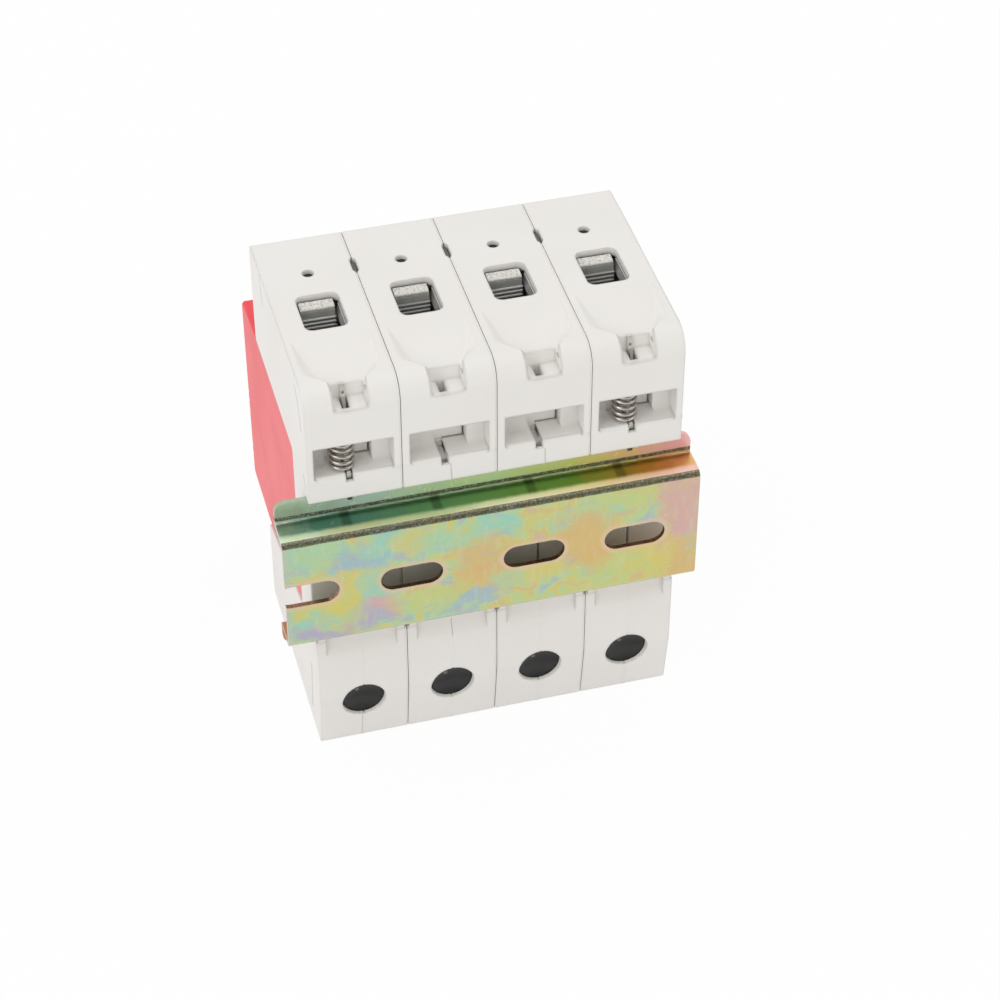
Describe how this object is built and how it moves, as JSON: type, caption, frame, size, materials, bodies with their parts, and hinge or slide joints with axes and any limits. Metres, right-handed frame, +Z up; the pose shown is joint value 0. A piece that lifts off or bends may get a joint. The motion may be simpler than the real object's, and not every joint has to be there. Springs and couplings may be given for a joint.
{
  "type": "plug-in cartridge base",
  "caption": "White multi-pole plug-in base with red pull-out cartridges, screw cage terminals and sprung rail latches, clipped on a slotted top-hat rail.",
  "frame": {"origin": "middle of the whole box, on the plane of the base's lower end", "axes": "+Z up along the base's height, +Y towards the cartridge fronts, +X along the rail"},
  "size_m": [0.0804, 0.0706, 0.09],
  "materials": {
    "white_plastic": "satin moulded",
    "red_plastic": "satin moulded",
    "black_plastic": "gloss",
    "lens_plastic": "gloss",
    "element_body": "resin with metal blades",
    "zinc_steel": "zinc plated",
    "screw_steel": "zinc plated",
    "tinned_strip": "tin plated",
    "latch_steel": "zinc plated",
    "spring_steel": "bright wire",
    "yellow_passivated_steel": "zinc plated, yellow passivated"
  },
  "bodies": {
    "base": {"base_cover_1": "white_plastic", "base_cover_2": "white_plastic", "base_cover_3": "white_plastic", "base_cover_4": "white_plastic", "base_housing_1": "white_plastic", "base_housing_2": "white_plastic", "base_housing_3": "white_plastic", "base_housing_4": "white_plastic", "latch_spring_1": "spring_steel", "latch_spring_4": "spring_steel", "lower_contact_1": "tinned_strip", "lower_contact_2": "tinned_strip", "lower_contact_3": "tinned_strip", "lower_contact_4": "tinned_strip", "rear_plug_1": "black_plastic", "rear_plug_2": "black_plastic", "rear_plug_3": "black_plastic", "rear_plug_4": "black_plastic", "upper_contact_1": "tinned_strip", "upper_contact_2": "tinned_strip", "upper_contact_3": "tinned_strip", "upper_contact_4": "tinned_strip"},
    "rail": {"rail": "yellow_passivated_steel"},
    "cartridge_1": {"cartridge_carrier_1": "black_plastic", "cartridge_element_1": "element_body", "cartridge_housing_1": "red_plastic", "cartridge_lens_1": "lens_plastic"},
    "upper_cage_1": {"upper_cage_1": "zinc_steel"},
    "upper_screw_1": {"upper_screw_1": "screw_steel"},
    "lower_cage_1": {"lower_cage_1": "zinc_steel"},
    "lower_screw_1": {"lower_screw_1": "screw_steel"},
    "cartridge_2": {"cartridge_carrier_2": "black_plastic", "cartridge_element_2": "element_body", "cartridge_housing_2": "red_plastic", "cartridge_lens_2": "lens_plastic"},
    "upper_cage_2": {"upper_cage_2": "zinc_steel"},
    "upper_screw_2": {"upper_screw_2": "screw_steel"},
    "lower_cage_2": {"lower_cage_2": "zinc_steel"},
    "lower_screw_2": {"lower_screw_2": "screw_steel"},
    "cartridge_3": {"cartridge_carrier_3": "black_plastic", "cartridge_element_3": "element_body", "cartridge_housing_3": "red_plastic", "cartridge_lens_3": "lens_plastic"},
    "upper_cage_3": {"upper_cage_3": "zinc_steel"},
    "upper_screw_3": {"upper_screw_3": "screw_steel"},
    "lower_cage_3": {"lower_cage_3": "zinc_steel"},
    "lower_screw_3": {"lower_screw_3": "screw_steel"},
    "cartridge_4": {"cartridge_carrier_4": "black_plastic", "cartridge_element_4": "element_body", "cartridge_housing_4": "red_plastic", "cartridge_lens_4": "lens_plastic"},
    "upper_cage_4": {"upper_cage_4": "zinc_steel"},
    "upper_screw_4": {"upper_screw_4": "screw_steel"},
    "lower_cage_4": {"lower_cage_4": "zinc_steel"},
    "lower_screw_4": {"lower_screw_4": "screw_steel"},
    "latch_1": {"rail_latch_1": "latch_steel"},
    "latch_4": {"rail_latch_4": "latch_steel"}
  },
  "joints": [
    {"name": "cartridge_1_pull", "type": "slide", "parent": "base", "child": "cartridge_1", "axis": [0, 1, 0], "range_m": [0, 0.03]},
    {"name": "upper_screw_1_turn", "type": "hinge", "parent": "base", "child": "upper_screw_1", "pos_m": [-0.02525, 0.00875, 0.0805], "axis": [0, -1, 0], "range_deg": [0, 1801]},
    {"name": "upper_cage_1_draw", "type": "slide", "parent": "base", "child": "upper_cage_1", "axis": [0, 1, 0], "range_m": [0, 0.004]},
    {"name": "lower_screw_1_turn", "type": "hinge", "parent": "base", "child": "lower_screw_1", "pos_m": [-0.02525, 0.00875, 0.0095], "axis": [0, -1, 0], "range_deg": [0, 1801]},
    {"name": "lower_cage_1_draw", "type": "slide", "parent": "base", "child": "lower_cage_1", "axis": [0, 1, 0], "range_m": [0, 0.004]},
    {"name": "cartridge_2_pull", "type": "slide", "parent": "base", "child": "cartridge_2", "axis": [0, 1, 0], "range_m": [0, 0.03]},
    {"name": "upper_screw_2_turn", "type": "hinge", "parent": "base", "child": "upper_screw_2", "pos_m": [-0.00725, 0.00875, 0.0805], "axis": [0, -1, 0], "range_deg": [0, 1801]},
    {"name": "upper_cage_2_draw", "type": "slide", "parent": "base", "child": "upper_cage_2", "axis": [0, 1, 0], "range_m": [0, 0.004]},
    {"name": "lower_screw_2_turn", "type": "hinge", "parent": "base", "child": "lower_screw_2", "pos_m": [-0.00725, 0.00875, 0.0095], "axis": [0, -1, 0], "range_deg": [0, 1801]},
    {"name": "lower_cage_2_draw", "type": "slide", "parent": "base", "child": "lower_cage_2", "axis": [0, 1, 0], "range_m": [0, 0.004]},
    {"name": "cartridge_3_pull", "type": "slide", "parent": "base", "child": "cartridge_3", "axis": [0, 1, 0], "range_m": [0, 0.03]},
    {"name": "upper_screw_3_turn", "type": "hinge", "parent": "base", "child": "upper_screw_3", "pos_m": [0.01075, 0.00875, 0.0805], "axis": [0, -1, 0], "range_deg": [0, 1801]},
    {"name": "upper_cage_3_draw", "type": "slide", "parent": "base", "child": "upper_cage_3", "axis": [0, 1, 0], "range_m": [0, 0.004]},
    {"name": "lower_screw_3_turn", "type": "hinge", "parent": "base", "child": "lower_screw_3", "pos_m": [0.01075, 0.00875, 0.0095], "axis": [0, -1, 0], "range_deg": [0, 1801]},
    {"name": "lower_cage_3_draw", "type": "slide", "parent": "base", "child": "lower_cage_3", "axis": [0, 1, 0], "range_m": [0, 0.004]},
    {"name": "cartridge_4_pull", "type": "slide", "parent": "base", "child": "cartridge_4", "axis": [0, 1, 0], "range_m": [0, 0.03]},
    {"name": "upper_screw_4_turn", "type": "hinge", "parent": "base", "child": "upper_screw_4", "pos_m": [0.02875, 0.00875, 0.0805], "axis": [0, -1, 0], "range_deg": [0, 1801]},
    {"name": "upper_cage_4_draw", "type": "slide", "parent": "base", "child": "upper_cage_4", "axis": [0, 1, 0], "range_m": [0, 0.004]},
    {"name": "lower_screw_4_turn", "type": "hinge", "parent": "base", "child": "lower_screw_4", "pos_m": [0.02875, 0.00875, 0.0095], "axis": [0, -1, 0], "range_deg": [0, 1801]},
    {"name": "lower_cage_4_draw", "type": "slide", "parent": "base", "child": "lower_cage_4", "axis": [0, 1, 0], "range_m": [0, 0.004]},
    {"name": "latch_1_lift", "type": "slide", "parent": "base", "child": "latch_1", "axis": [0, 0, 1], "range_m": [0, 0.0022], "stiffness_N_per_m": 600, "springref_m": -0.002, "deforming": ["latch_spring_1"]},
    {"name": "latch_4_lift", "type": "slide", "parent": "base", "child": "latch_4", "axis": [0, 0, 1], "range_m": [0, 0.0022], "stiffness_N_per_m": 600, "springref_m": -0.002, "deforming": ["latch_spring_4"]},
    {"name": "rail_slide", "type": "slide", "parent": "base", "child": "rail", "axis": [1, 0, 0], "range_m": [-0.02, 0.02]}
  ],
  "couplings": [
    {"joint": "upper_screw_1_turn", "follows": "upper_cage_1_draw", "rad_per_m": 7854},
    {"joint": "lower_screw_1_turn", "follows": "lower_cage_1_draw", "rad_per_m": 7854},
    {"joint": "upper_screw_2_turn", "follows": "upper_cage_2_draw", "rad_per_m": 7854},
    {"joint": "lower_screw_2_turn", "follows": "lower_cage_2_draw", "rad_per_m": 7854},
    {"joint": "upper_screw_3_turn", "follows": "upper_cage_3_draw", "rad_per_m": 7854},
    {"joint": "lower_screw_3_turn", "follows": "lower_cage_3_draw", "rad_per_m": 7854},
    {"joint": "upper_screw_4_turn", "follows": "upper_cage_4_draw", "rad_per_m": 7854},
    {"joint": "lower_screw_4_turn", "follows": "lower_cage_4_draw", "rad_per_m": 7854}
  ]
}
